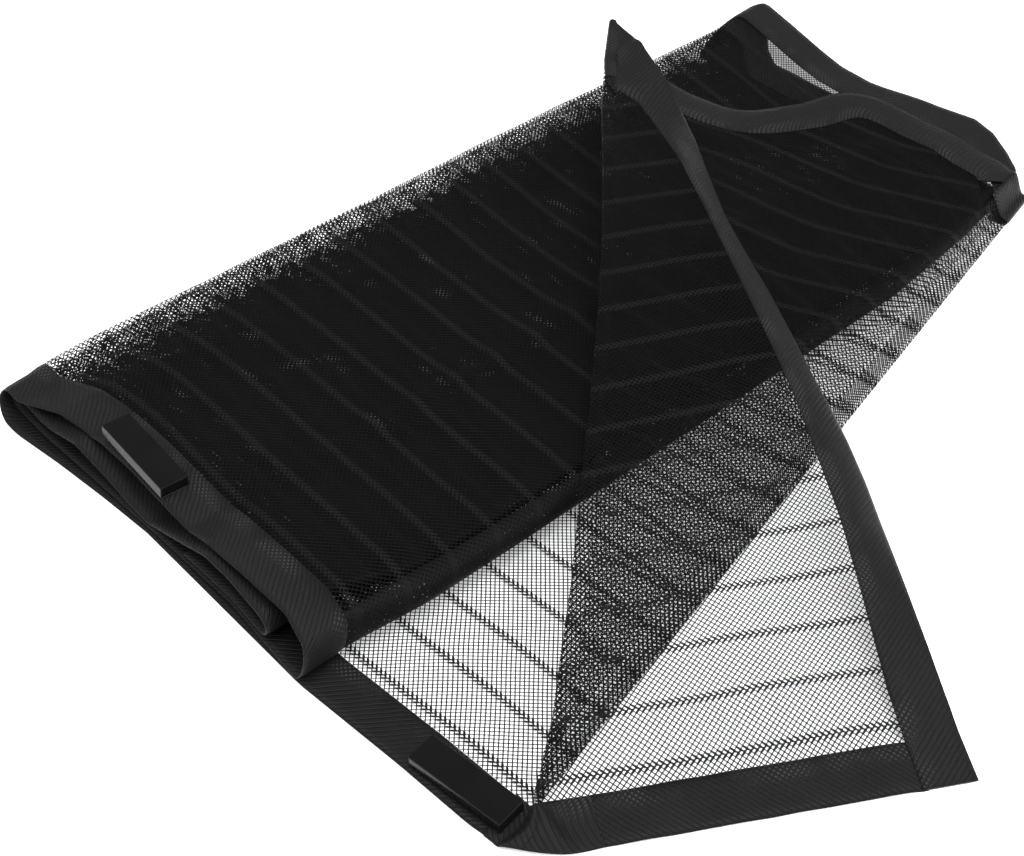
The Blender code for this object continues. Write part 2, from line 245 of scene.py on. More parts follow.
def past_crease(x, y):
    """Distance to the right of the bowed crease."""
    return past_slant(x, y) - BOW_FOLLOW * bow(y)


def leaf_z(x, y):
    """The leaf lies on the ground ply, climbs the roll and tents up to the slanted fold."""
    low = FOLD_Z + LEAF_OFF
    inside = y - near_y(x)
    start = np.maximum(-12.0, inside - past_fold(x, y) + 0.5)
    end = 4.0 - 2.0 * np.clip((x - 340) / 140, 0, 1)
    over = top_z(x, np.clip(y, -45, 160)) + OVER_TOP
    drape = mix(low, over, smooth((inside - start) / (end - start)))
    f = np.clip(past_fold(x, y), 0, None)
    s = np.clip(past_crease(x, y), 0, None)
    ratio = f / np.maximum(f + s, 1e-6)
    sag = TIP_SAG * (1 - np.exp(-s / 12.0)) * smooth((y - 40) / 100)
    tent = mix(low, slant_z(x, y) - LEAF_OFF - sag, ratio ** TENT_POWER)
    gap = tent - drape
    return drape + 0.5 * (gap + np.sqrt(gap * gap + 1.2)) - 0.2


FLAP_SIDE = unit(FLAP_CORNER - FLAP_HEEL)
FLAP_UP = np.array((-FLAP_SIDE[1], FLAP_SIDE[0]))
FLAP_WIDTH = np.linalg.norm(FLAP_CORNER - FLAP_HEEL)


def flap_place(x, y):
    dx, dy = x - FLAP_HEEL[0], y - FLAP_HEEL[1]
    return dx * FLAP_SIDE[0] + dy * FLAP_SIDE[1], dx * FLAP_UP[0] + dy * FLAP_UP[1]


def flap_plan(u, v):
    return (FLAP_HEEL[0] + u * FLAP_SIDE[0] + v * FLAP_UP[0],
            FLAP_HEEL[1] + u * FLAP_SIDE[1] + v * FLAP_UP[1])


def rise(v):
    v = np.asarray(v, float)
    return sum(table(FLAP_RISE, v + k) for k in (-18, -9, 0, 9, 18)) / 5.0


def flap_z(x, y):
    """The flap is one inclined panel, held up where the leaf lies under it."""
    u, v = flap_place(x, y)
    s = np.clip(past_crease(x, y), 0, None)
    c = np.clip(FLAP_WIDTH - u, 1.0, None)
    edge = np.where(v < 30, table(FLAP_RISE, v), rise(v))
    crease = mix(edge, slant_z(x, y) + LEAF_OFF, smooth((v - 15) / 45))
    plain = mix(crease, edge, s / (s + c))
    away = np.hypot(x - SLANT_A[0], y - SLANT_A[1])
    over = leaf_z(x, y) + mix(1.0, 3.4, np.clip(away / 70, 0, 1))
    gap = over - plain
    over = plain + 0.5 * (gap + np.sqrt(gap * gap + 1.0))
    return mix(over, plain, smooth(-past_fold(x, y) / 12.0))


# ---- meshes -------------------------------------------------------------------------------
def finish_mesh(name, verts, faces, uvs, mat):
    mesh = bpy.data.meshes.new(name)
    mesh.from_pydata([tuple(v) for v in verts], [], [tuple(f) for f in faces])
    layer = mesh.uv_layers.new(name="cloth")
    loops = np.empty(len(mesh.loops), int)
    mesh.loops.foreach_get("vertex_index", loops)
    layer.data.foreach_set("uv", np.asarray(uvs, np.float32)[loops].ravel())
    mesh.polygons.foreach_set("use_smooth", [True] * len(mesh.polygons))
    mesh.materials.append(mat)
    mesh.update()
    obj = bpy.data.objects.new(name, mesh)
    bpy.context.scene.collection.objects.link(obj)
    return obj


def metres(p):
    return (np.asarray(p, float) - ORIGIN) * 0.001


def grid_faces(rows, cols):
    i, j = np.meshgrid(np.arange(rows - 1), np.arange(cols - 1), indexing="ij")
    a = (i * cols + j).ravel()
    return np.stack((a, a + cols, a + cols + 1, a + 1), -1)


def net(name, points, uv):
    """Single open surface through a grid of drawing points; uv in millimetres."""
    rows, cols = points.shape[:2]
    return finish_mesh(name, metres(points.reshape(-1, 3)), grid_faces(rows, cols),
                       uv.reshape(-1, 2) * 0.001, NET)


def normals(points):
    du, dv = np.gradient(points, axis=0), np.gradient(points, axis=1)
    n = np.cross(du, dv)
    return n / np.maximum(np.linalg.norm(n, axis=-1, keepdims=True), 1e-9)


def band(name, points, uv):
    """Closed band with rounded edges: rows run along it, columns across it."""
    rows, cols = points.shape[:2]
    c = np.linspace(-1, 1, cols)
    body = np.sqrt(np.clip(1 - np.abs(c) ** 7, 0, 1)) * 0.5 * HEM_THICK
    body[0] = body[-1] = 0.16 * HEM_THICK
    n = normals(points) * body[None, :, None]
    verts = np.concatenate(((points + n).reshape(-1, 3), (points - n).reshape(-1, 3)))
    f = grid_faces(rows, cols)
    size = rows * cols
    rim = [i * cols for i in range(rows - 1)] + [(rows - 1) * cols + j for j in range(cols - 1)]
    rim += [i * cols + cols - 1 for i in range(rows - 1, 0, -1)] + list(range(cols - 1, 0, -1))
    sides = [(a, a + size, b + size, b) for a, b in zip(rim, rim[1:] + rim[:1])]
    faces = f.tolist() + (f[:, ::-1] + size).tolist() + sides
    both = np.concatenate((uv.reshape(-1, 2), uv.reshape(-1, 2))) * 0.001
    return finish_mesh(name, metres(verts), faces, both, TAPE)


def arc_uv(points, first=0.0):
    """Distance along the rows of a grid, from its first row."""
    step = np.linalg.norm(np.diff(points, axis=0), axis=-1)
    return first + np.concatenate((np.zeros((1, points.shape[1])), np.cumsum(step, axis=0)))


def across_uv(points):
    """Distance across the columns of a grid, from its first column."""
    step = np.linalg.norm(np.diff(points, axis=1), axis=-1)
    return np.concatenate((np.zeros((points.shape[0], 1)), np.cumsum(step, axis=1)), axis=1)


# ---- materials ----------------------------------------------------------------------------
class Nodes:
    """Short way to write a node tree."""

    def __init__(self, name):
        self.mat = bpy.data.materials.new(name)
        self.mat.use_nodes = True
        self.tree = self.mat.node_tree
        self.bsdf = self.tree.nodes["Principled BSDF"]

    def feed(self, node, values):
        for k, v in values.items():
            socket = node.inputs[k]
            if isinstance(v, bpy.types.NodeSocket):
                self.tree.links.new(v, socket)
            else:
                socket.default_value = v
        return node

    def add(self, kind, values=None, **settings):
        node = self.tree.nodes.new(kind)
        for k, v in settings.items():
            setattr(node, k, v)
        return self.feed(node, values or {})

    def math(self, op, a, b=0.0, c=0.0, clamp=False):
        node = self.add("ShaderNodeMath", operation=op, use_clamp=clamp)
        for k, v in enumerate((a, b, c)):
            if isinstance(v, bpy.types.NodeSocket):
                self.tree.links.new(v, node.inputs[k])
            else:
                node.inputs[k].default_value = v
        return node.outputs[0]

    def ramp(self, value, low, high, to_low=0.0, to_high=1.0):
        node = self.add("ShaderNodeMapRange", {"Value": value, "From Min": low, "From Max": high,
                                               "To Min": to_low, "To Max": to_high},
                        interpolation_type="SMOOTHSTEP")
        return node.outputs["Result"]

    def colour(self, fac, a, b):
        node = self.add("ShaderNodeMix", {"Factor": fac}, data_type="RGBA")
        node.inputs[6].default_value = (*a, 1)
        node.inputs[7].default_value = (*b, 1)
        return node.outputs[2]

    def uv(self, wobble, scale):
        """The cloth coordinates in metres, a little uneven, as two sockets."""
        uv = self.add("ShaderNodeUVMap", uv_map="cloth").outputs["UV"]
        noise = self.add("ShaderNodeTexNoise", {"Vector": uv, "Scale": scale, "Detail": 1.0})
        off = self.add("ShaderNodeVectorMath", {0: noise.outputs["Color"], 1: (0.5, 0.5, 0.5)},
                       operation="SUBTRACT").outputs[0]
        moved = self.add("ShaderNodeVectorMath", {0: off, "Scale": wobble}, operation="SCALE")
        total = self.add("ShaderNodeVectorMath", {0: uv, 1: moved.outputs[0]}, operation="ADD")
        split = self.add("ShaderNodeSeparateXYZ", {"Vector": total.outputs[0]})
        return split.outputs["X"], split.outputs["Y"], uv


PITCH = 0.00190                 # net mesh, thread to thread
ROW = 9 * PITCH * math.sqrt(2)  # spacing of the woven-in chevron lines
FIRST_ROW = 0.0033
ROW_HALF = (0.0015, 0.0022)     # a row is solid up to the first distance, gone at the second
ROW_ARM = 0.13                  # extra half width of a thread in a row's arms, in meshes
KNOT = 0.12                     # how far the corners of a mesh are filled, in meshes


def net_material(name, thread_width, line_colour):
    """Square open net set at 45 degrees, with chevron rows; thread_width is half a thread's
    width, in meshes."""
    n = Nodes(name)
    u, v, plain = n.uv(0.0036, 14.0)
    root = PITCH * math.sqrt(2)
    a = n.math("DIVIDE", n.math("ADD", u, v), root)
    b = n.math("DIVIDE", n.math("SUBTRACT", u, v), root)
    far_a = n.math("PINGPONG", a, 0.5)          # distance to the nearest thread, in meshes
    far_b = n.math("PINGPONG", b, 0.5)
    line = n.math("DIVIDE", n.math("SUBTRACT", v, FIRST_ROW), ROW)
    off = n.math("MULTIPLY", n.math("SUBTRACT", line, n.math("ROUND", line)), ROW)
    above = n.math("GREATER_THAN", off, -0.0002)
    below = n.math("LESS_THAN", off, 0.0002)
    near = n.ramp(n.math("ABSOLUTE", off), *ROW_HALF, 1.0, 0.0)
    wide_a = n.math("MULTIPLY_ADD", n.math("MULTIPLY", near, above), ROW_ARM, thread_width)
    wide_b = n.math("MULTIPLY_ADD", n.math("MULTIPLY", near, below), ROW_ARM, thread_width)

    edge = n.math("SMOOTH_MIN", n.math("SUBTRACT", far_a, wide_a),
                  n.math("SUBTRACT", far_b, wide_b), KNOT)
    mask = n.ramp(edge, -0.03, 0.03, 1.0, 0.0)
    round_a = n.math("SUBTRACT", 1.0, n.math("DIVIDE", far_a, wide_a), clamp=True)
    round_b = n.math("SUBTRACT", 1.0, n.math("DIVIDE", far_b, wide_b), clamp=True)
    height = n.math("SQRT", n.math("MAXIMUM", round_a, round_b))
    bump = n.add("ShaderNodeBump", {"Height": height, "Strength": 0.9, "Distance": 0.00022})
    patch = n.add("ShaderNodeTexNoise", {"Vector": plain, "Scale": 18.0, "Detail": 3.0})
    colour = n.add("ShaderNodeMix", {
        "Factor": near,
        6: n.colour(patch.outputs["Fac"], (0.0015, 0.0015, 0.0016), (0.0045, 0.0045, 0.0047)),
        7: line_colour}, data_type="RGBA")
    n.feed(n.bsdf, {
        "Base Color": colour.outputs[2],
        "Alpha": mask,
        "Roughness": n.ramp(patch.outputs["Fac"], 0.3, 0.7, 0.42, 0.6),
        "Specular IOR Level": 0.06,
        "Normal": bump.outputs["Normal"],
    })
    return n.mat


def tape_material():
    """Woven tape: diagonal ribs with painted shade in their grooves, a fine weave, and a stitched
    band at its inner side.
    """
    n = Nodes("hem_tape")
    u, w, plain = n.uv(0.0010, 60.0)
    rib_pos = n.math("DIVIDE", n.math("ADD", u, w), 0.0030)
    rib = n.math("PINGPONG", rib_pos, 0.5)
    groove = n.ramp(rib, 0.0, 0.20, 1.0, 0.0)
    fine = n.math("PINGPONG", n.math("DIVIDE", n.math("SUBTRACT", u, n.math("MULTIPLY", w, 0.25)),
                                     0.0007), 0.5)
    grain = n.add("ShaderNodeTexNoise", {"Vector": plain, "Scale": 900.0, "Detail": 2.0})
    cloud = n.add("ShaderNodeTexNoise", {"Vector": plain, "Scale": 35.0, "Detail": 4.0})
    root = PITCH * math.sqrt(2)
    ca = n.math("PINGPONG", n.math("DIVIDE", n.math("ADD", u, w), root), 0.5)
    cb = n.math("PINGPONG", n.math("DIVIDE", n.math("SUBTRACT", u, w), root), 0.5)
    dot = n.ramp(n.math("MINIMUM", ca, cb), 0.20, 0.34)
    inner = n.ramp(w, 0.0125, 0.0165)
    some = n.ramp(cloud.outputs["Fac"], 0.44, 0.60)
    speck = n.math("MULTIPLY", n.math("MULTIPLY", dot, inner), some)
    shade = n.math("MULTIPLY_ADD", cloud.outputs["Fac"], 0.9,
                   n.math("MULTIPLY", grain.outputs["Fac"], 0.5))
    # the rib grooves are darkened in the colour: painted shade in the grooves
    shade = n.math("SUBTRACT", shade, n.math("MULTIPLY", groove, 0.25), clamp=True)
    base = n.add("ShaderNodeMix", {"Factor": shade}, data_type="RGBA")
    base.inputs[6].default_value = (0.0018, 0.0018, 0.0020, 1)
    base.inputs[7].default_value = (0.0085, 0.0085, 0.0089, 1)
    light = n.add("ShaderNodeMix", {"Factor": n.math("MULTIPLY", speck, 0.4)}, data_type="RGBA")
    n.tree.links.new(base.outputs[2], light.inputs[6])
    light.inputs[7].default_value = (0.08, 0.08, 0.083, 1)
    height = n.math("MULTIPLY_ADD", n.ramp(fine, 0.0, 0.5), 0.35,
                    n.math("MULTIPLY_ADD", groove, -0.8, n.math("MULTIPLY", speck, 0.6)))
    height = n.math("ADD", height, n.math("MULTIPLY", grain.outputs["Fac"], 0.5))
    bump = n.add("ShaderNodeBump", {"Height": height, "Strength": 0.8, "Distance": 0.00035})
    n.feed(n.bsdf, {
        "Base Color": light.outputs[2],
        "Roughness": n.ramp(cloud.outputs["Fac"], 0.3, 0.7, 0.38, 0.56),
        "Normal": bump.outputs["Normal"],
        "Specular IOR Level": 0.11,
        "Sheen Weight": 0.008,
        "Sheen Roughness": 0.4,
    })
    return n.mat


def magnet_material():
    """Smooth black coating with a little haze and a few pits."""
    n = Nodes("magnet")
    where = n.add("ShaderNodeTexCoord").outputs["Object"]
    haze = n.add("ShaderNodeTexNoise", {"Vector": where, "Scale": 60.0, "Detail": 3.0})
    fine = n.add("ShaderNodeTexNoise", {"Vector": where, "Scale": 900.0, "Detail": 2.0})
    dent = n.add("ShaderNodeTexVoronoi", {"Vector": where, "Scale": 85.0})
    pit = n.ramp(dent.outputs["Distance"], 0.0, 0.14, 0.0, 1.0)
    bump = n.add("ShaderNodeBump", {"Height": n.math("MULTIPLY_ADD", haze.outputs["Fac"], 0.4, pit),
                                    "Strength": 0.12, "Distance": 0.0004})
    n.feed(n.bsdf, {
        "Base Color": n.colour(haze.outputs["Fac"], (0.0025, 0.0025, 0.0028),
                               (0.0060, 0.0060, 0.0065)),
        "Roughness": n.ramp(fine.outputs["Fac"], 0.3, 0.7, 0.11, 0.20),
        "Normal": bump.outputs["Normal"],
        "Specular IOR Level": 0.09,
    })
    return n.mat


def patch_material():
    """Plain dark cloth."""
    n = Nodes("magnet_pad")
    where = n.add("ShaderNodeTexCoord").outputs["Object"]
    weave = n.add("ShaderNodeTexWave", {"Vector": where, "Scale": 420.0, "Distortion": 1.5},
                  bands_direction="DIAGONAL")
    bump = n.add("ShaderNodeBump", {"Height": weave.outputs["Fac"], "Strength": 0.5,
                                    "Distance": 0.0002})
    n.feed(n.bsdf, {
        "Base Color": n.colour(weave.outputs["Fac"], (0.003, 0.003, 0.0033),
                               (0.010, 0.010, 0.0105)),
        "Roughness": n.ramp(weave.outputs["Fac"], 0.0, 1.0, 0.6, 0.8),
        "Normal": bump.outputs["Normal"],
    })
    return n.mat


NET = net_material("net", 0.129, (0.0062, 0.0062, 0.0066, 1))
# each inner ply stands for several, so its threads are wider
NET_INNER = net_material("net_inner", 0.370, (0.0040, 0.0040, 0.0042, 1))
TAPE = tape_material()
MAGNET_MAT = magnet_material()
PATCH = patch_material()

# ---- the roll -----------------------------------------------------------------------------
BIG = {"base": (EDGE_A_BASE, EDGE_D_BASE), "top": (EDGE_A_TOP, EDGE_D_TOP),
       "inner": (EDGE_A_INNER, EDGE_D_INNER)}


def straight(rows, y):
    """The straight line nearest to an outline."""
    a = np.array(rows, float)
    return np.polyval(np.polyfit(a[:, 0], a[:, 1], 1), y)


def bend(t, y, z0, z1, side):
    """Half turn from z0 at t = 0 to z1 at t = 1 about a line at y, bulging to side."""
    r = 0.5 * (z1 - z0)
    angle = math.pi * (t - 0.5)
    return y + side * np.abs(r) * np.cos(angle), 0.5 * (z0 + z1) + r * np.sin(angle)


def near_bend(x, t):
    """The near fold, flattened into a steep wall at the magnet end."""
    y, z = bend(t, near_c(x), top_z(x, near_c(x)), low_z(x, 0), -1)
    flat = mix(0.45, 1.0, smooth((x + 5) / 60))
    return near_c(x) + (y - near_c(x)) * flat, z


def roll_points(q):
    """Grid over the rolled part: rows follow the spiral from the long fold inwards."""
    q = np.asarray(q, float)[None, :]
    wave_a = np.exp(-6 * np.clip(q - HEM / WIDTH, 0, None))
    wave_d = np.exp(-6 * np.clip(1 - q - HEM / WIDTH, 0, None))
    rows = []

    def piece(edges, count, at):
        ea, ed = BIG[edges[0]]
        fa, fd = BIG[edges[1]]
        t = np.linspace(0, 1, count)[:, None]
        x = mix(-15.0, 485.0, q) + 0.0 * t
        for _ in range(4):
            y, z = at(x, t)
            w = smooth(t)
            a = mix(table(ea, y), table(fa, y), w)
            d = mix(table(ed, y), table(fd, y), w)
            la = mix(straight(ea, y), straight(fa, y), w)
            ld = mix(straight(ed, y), straight(fd, y), w)
            x = mix(la, ld, q) + (a - la) * wave_a + (d - ld) * wave_d
        rows.append(np.stack((x, y, z), -1))

    def inner_far(x):
        return table(INNER_FAR, x) + 0.5 * ripple(x, 0 * x, 80, 8)

    def flat(y0, y1, height):
        def at(x, t):
            y = mix(y0(x), y1(x), t)
            return y, height(x, y)
        return at

    def far(x):
        return table(FAR_Y, x)

    def free(x):
        return 34.0 + 0.0 * x

    def inner_near(x):
        return mix(-24.0, -41.0, smooth(x / 60))

    piece(("base", "base"), 60,
          flat(lambda x: fold_y(x) + 9.0, far, base_z))
    piece(("base", "top"), 17,
          lambda x, t: bend(t, far(x), base_z(x, 0), top_z(x, far(x)), 1))
    piece(("top", "top"), 110, flat(far, near_c, top_z))
    piece(("top", "inner"), 21, near_bend)
    piece(("inner", "inner"), 40, flat(near_c, inner_far, low_z))
    piece(("inner", "inner"), 11,
          lambda x, t: bend(t, inner_far(x), low_z(x, 0), high_z(x, inner_far(x)), 1))
    piece(("inner", "inner"), 70, flat(inner_far, inner_near, high_z))
    piece(("inner", "inner"), 11,
          lambda x, t: bend(t, inner_near(x), high_z(x, inner_near(x)), mid_z(x, 0), -1))
    piece(("inner", "inner"), 14, flat(inner_near, free, mid_z))
    inner = sum(len(r) - 1 for r in rows[:3])
    return np.concatenate([r if k == 0 else r[1:] for k, r in enumerate(rows)]), inner


def build_roll():
    """The rolled net as one surface, with a hem along each side of it."""
    hem = HEM / WIDTH
    q = np.linspace(hem * 1.01, 1 - hem * 1.01, 150)
    p, inner = roll_points(q)
    uv = np.stack((-arc_uv(p, p[:1, :, 1]), np.broadcast_to(q[None, :] * WIDTH, p.shape[:2])), -1)
    cloth = net("net_roll", p, uv)
    cloth.data.materials.append(NET_INNER)
    x, y = p[:-1, :-1, 0], p[:-1, :-1, 1]
    dense = y < table(INNER_FAR, x) - 13 + 7 * ripple(x, y, 11, 4)
    dense &= (np.arange(len(p) - 1) >= inner)[:, None]
    cloth.data.polygons.foreach_set("material_index", dense.ravel().astype(np.int32))
    made = {"net": cloth}
    for key, qs, sign in (("a", np.linspace(0, hem, 9), 1), ("d", np.linspace(1 - hem, 1, 9), -1)):
        p = roll_points(qs)[0]
        w = (qs if sign > 0 else 1 - qs) * WIDTH
        uv = np.stack((arc_uv(p), np.broadcast_to(w[None, :], p.shape[:2])), -1)
        made[key] = band(f"hem_{key}_roll", p, uv)
    return made


roll = build_roll()

# ---- the leaf -----------------------------------------------------------------------------
def slant_line(t, right=0.0):
    """Plan point on the bowed crease, moved right of it."""
    t = np.asarray(t, float)[..., None]
    p = mix(SLANT_A[:2], SLANT_B[:2], t)
    p = p + np.stack((bow(p[..., 1]), 0 * p[..., 0]), -1)
    r = np.asarray(right, float)[..., None]
    return p + np.array((SLANT_DIR[1], -SLANT_DIR[0])) * r


def crease_reach(t):
    """Half width of the crease strip beside the slanted fold."""
    t = np.asarray(t, float)
    return np.clip(np.minimum(60.0 * t + 0.8, 150 * (1.003 - t)), 0.4, 5.0)


def fold_reach(x):
    """Width of the long fold's strip on the leaf's side."""
    return np.clip((np.asarray(x, float) - 14.0) * 0.5 + 0.5, 0.5, 9.0)


def with_z(p, height):
    return np.concatenate((p, height(p[..., 0], p[..., 1])[..., None]), -1)


def sheet_v(x, y):
    """Sheet width coordinate of a point of the ground ply."""
    a, d = table(EDGE_A_BASE, y), table(EDGE_D_BASE, y)
    return (x - a) / (d - a) * WIDTH


def leaf_uv(x, y):
    """Sheet coordinates on the leaf: the plan mirrored in the long fold."""
    f = past_fold(x, y)
    mx, my = x + 2 * f * FOLD_DIR[1], y - 2 * f * FOLD_DIR[0]
    return np.stack((-my, (mx + 10.0) * 1.02), -1)


RISE_V = np.arange(0.0, 500.0, 2.0)
RISE_ARC = np.concatenate(((0.0,), np.cumsum(np.hypot(2.0, np.diff(rise(RISE_V))))))


def flap_uv(x, y):
    u, v = flap_place(x, y)
    return np.stack((u, np.interp(v, RISE_V, RISE_ARC) - 2.0), -1)


def leaf_rim(t, width):
    """Plan point of the leaf's hem, width in from its edge, never past the slanted fold."""
    p = inward(LEAF_EDGE, t, width)
    out = curve(LEAF_EDGE, t)
    for _ in range(2):
        over = past_crease(p[..., 0], p[..., 1])
        edge = past_crease(out[..., 0], out[..., 1])
        k = np.where(over < 0.4, (edge - 0.4) / np.maximum(edge - over, 1e-6), 1.0)
        p = out + (p - out) * np.clip(k, 0, 1)[..., None]
    return p


def build_leaf():
    """Net between the slanted fold and the hem, and the hem along its outer edge."""
    count = 260
    t = np.linspace(0.0, 1.0, count)
    left_t = mix(0.03, 0.952, t)
    left = slant_line(left_t, crease_reach(left_t))
    right_t = 0.905 * t
    right = leaf_rim(right_t, np.full(count, HEM - 0.6))
    first = FOLD_K + FOLD_DIR * 467.0 + np.array((-FOLD_DIR[1], FOLD_DIR[0])) * 9.0
    fade = smooth(1 - t / 0.05)[:, None]
    right = mix(right, first, fade)
    k = np.linspace(0, 1, 150)[None, :, None]
    p = mix(left[:, None], right[:, None], k)
    low = np.clip(fold_reach(p[0, :, 0]) - past_fold(p[0, :, 0], p[0, :, 1]), -20, 20)
    shift = low[None, :] * smooth(1 - t / 0.06)[:, None]
    p = p + shift[..., None] * np.array((-FOLD_DIR[1], FOLD_DIR[0]))
    p = with_z(p, leaf_z)
    cloth = net("net_leaf_cloth", p, leaf_uv(p[..., 0], p[..., 1]))

    t = np.linspace(0.035, 0.997, 170)[:, None]
    c = np.linspace(0, 1, 9)[None, :]
    h = leaf_rim(t + 0 * c, HEM * c + 0 * t)
    h = with_z(h, leaf_z)
    uv = np.stack((arc_uv(h), HEM * c + 0 * t), -1)
    return cloth, band("hem_d_leaf", h, uv)


# ---- the flap -----------------------------------------------------------------------------
CREASE_T = np.linspace(0.0, 1.0, 400)
CREASE_U, CREASE_V = flap_place(*slant_line(CREASE_T, crease_reach(CREASE_T)).T)


def crease_u(v):
    return np.interp(v, CREASE_V, CREASE_U)


def end_hem(v, c):
    """Point of the flap's end hem, c from its outer edge (0) to its inner one (1)."""
    outer = table(FLAP_OUT, v)
    inner = np.maximum(table(FLAP_IN, v), crease_u(v))
    u = mix(outer, inner, c)
    x, y = flap_plan(u, v)
    z = flap_z(x, y)
    hang = table(FLAP_HANG, v) * (1 - c) ** 1.8
    crossing = 2.2 * np.exp(-((v - 451 - 0.55 * (u - 128)) / 5.0) ** 2)
    x, y = flap_plan(u + 0.28 * hang, v)
    return np.stack((x, y, z - hang + crossing), -1)


def build_flap():
    """Net between the slanted fold and the end hem, the end hem, and the side hem."""
    v = np.concatenate((np.linspace(21.2, 30, 8), np.linspace(31, 447, 240)))
    left = crease_u(v)
    left = np.where(v < CREASE_V[0], CREASE_U[0], left)
    right = np.maximum(table(FLAP_IN, v) + 0.8, left + 0.3)
    q = np.linspace(0, 1, 120)[None, :]
    u = mix(left[:, None], right[:, None], q)
    x, y = flap_plan(u, v[:, None] + 0 * u)
    p = np.stack((x, y, flap_z(x, y)), -1)
    cloth = net("net_flap_cloth", p, flap_uv(x, y))

    v = np.linspace(0.0, 485.5, 220)[:, None]
    c = np.linspace(0, 1, 13)[None, :]
    h = end_hem(v + 0 * c, c + 0 * v)
    end = band("hem_c_flap", h, np.stack((v + 0 * c, HEM * c + 0 * v), -1))

    c = np.linspace(0, 1, 9)[None, :]
    a = np.linspace(16.0, 148.5, 60)[:, None]
    x, y = flap_plan(a + 0 * c, HEM * c + 0 * a)
    z = flap_z(x, y) + 0.35 * ripple(x, y, 30, 5) - 0.8 * smooth((a - 142) / 4)
    h = np.stack((x, y, z), -1)
    side_hem = band("hem_a_flap", h, np.stack((a + 0 * c, HEM * c + 0 * a), -1))
    return cloth, end, side_hem


leaf_net, leaf_hem = build_leaf()
flap_net, flap_end, flap_side = build_flap()


# ---- the open folds -----------------------------------------------------------------------
def long_fold(x0, x1, count, reach, leaf_reach):
    """Strip round the long fold, from the ground ply up into the leaf."""
    x = np.linspace(x0, x1, count)[:, None]
    t = np.linspace(0, 1, 25)[None, :]
    normal = np.array((-FOLD_DIR[1], FOLD_DIR[0]))
    foot = np.stack((x + 0 * t, fold_y(x) + 0 * t), -1)
    low, high = Z_BASE, FOLD_Z + LEAF_OFF
    up = leaf_reach(x)
    s = np.where(t < 0.3, reach * (1 - t / 0.3), np.where(t > 0.7, up * (t - 0.7) / 0.3, 0.0))
    angle = math.pi * np.clip((t - 0.3) / 0.4, 0, 1)
    out = 0.5 * (high - low) * np.sin(angle)
    p = foot + normal * (s - out)[..., None]
    lift = leaf_z(p[..., 0], p[..., 1])
    z = np.where(t > 0.7, lift, mix(low, high, 0.5 - 0.5 * np.cos(angle)) + 0 * x)
    z = np.where(t < 0.3, low, z)
    return np.concatenate((p, z[..., None]), -1)


def folded(t, reach, bulge):
    """Strip round the slanted fold, from the leaf over into the flap."""
    c = np.linspace(0, 1, 17)[None, :]
    angle = math.pi * np.clip((c - 0.3) / 0.4, 0, 1)
    s = np.where(c < 0.3, reach * (1 - c / 0.3), np.where(c > 0.7, reach * (c - 0.7) / 0.3, 0.0))
    plan = slant_line(t + 0 * c, s - bulge * np.sin(angle))
    zl, zf = leaf_z(plan[..., 0], plan[..., 1]), flap_z(plan[..., 0], plan[..., 1])
    z = mix(zl, zf, 0.5 - 0.5 * np.cos(angle))
    return np.concatenate((plan, z[..., None]), -1)


def spread(rows, columns, count):
    """Smooth surface through a few lines of control points, rows of (outer ... inner)."""
    p = np.array(rows, float)
    t, c = np.linspace(0, 1, count), np.linspace(0, 1, columns)
    along = np.stack([curve3(p[:, k], t) for k in range(p.shape[1])], 1)
    return np.stack([curve3(along[k], c) for k in range(count)])


def curve3(points, t):
    p = np.asarray(points, float)
    last = len(p) - 1
    s = np.clip(t, 0, 1) * last
    i = np.minimum(s.astype(int), last - 1)
    u = (s - i)[:, None]
    a, b, c, d = (p[np.clip(i + k, 0, last)] for k in (-1, 0, 1, 2))
    return 0.5 * (2 * b + (c - a) * u + (2 * a - 5 * b + 4 * c - d) * u * u
                  + (3 * b - a - 3 * c + d) * u ** 3)


# the magnet-edge hem where both folds cross it: rows from the ground ply to the flap,
# each from the hem's outer edge to its inner one
HEM_CORNER = (
    ((-9.0, -157.5, 0.9), (2.0, -155.0, 0.9), (13.2, -152.3, 0.9)),
    ((-8.5, -161.5, 0.9), (2.5, -160.0, 0.9), (13.2, -157.0, 1.0)),
    ((-8.3, -164.5, 1.0), (4.0, -164.5, 1.0), (13.3, -160.3, 1.4)),
    ((-8.0, -166.6, 3.0), (4.6, -167.4, 3.9), (13.6, -161.6, 4.4)),
    ((-5.5, -170.0, 3.2), (5.6, -169.2, 4.4), (13.9, -162.0, 5.2)),
    ((0.5, -177.0, 2.4), (7.0, -172.0, 3.4), (14.2, -162.4, 5.0)),
    ((8.0, -184.3, 1.7), (11.0, -176.0, 4.4), (14.8, -162.9, 5.2)),
    ((14.5, -188.2, 0.9), (16.5, -179.0, 2.2), (18.0, -164.2, 4.4)),
)


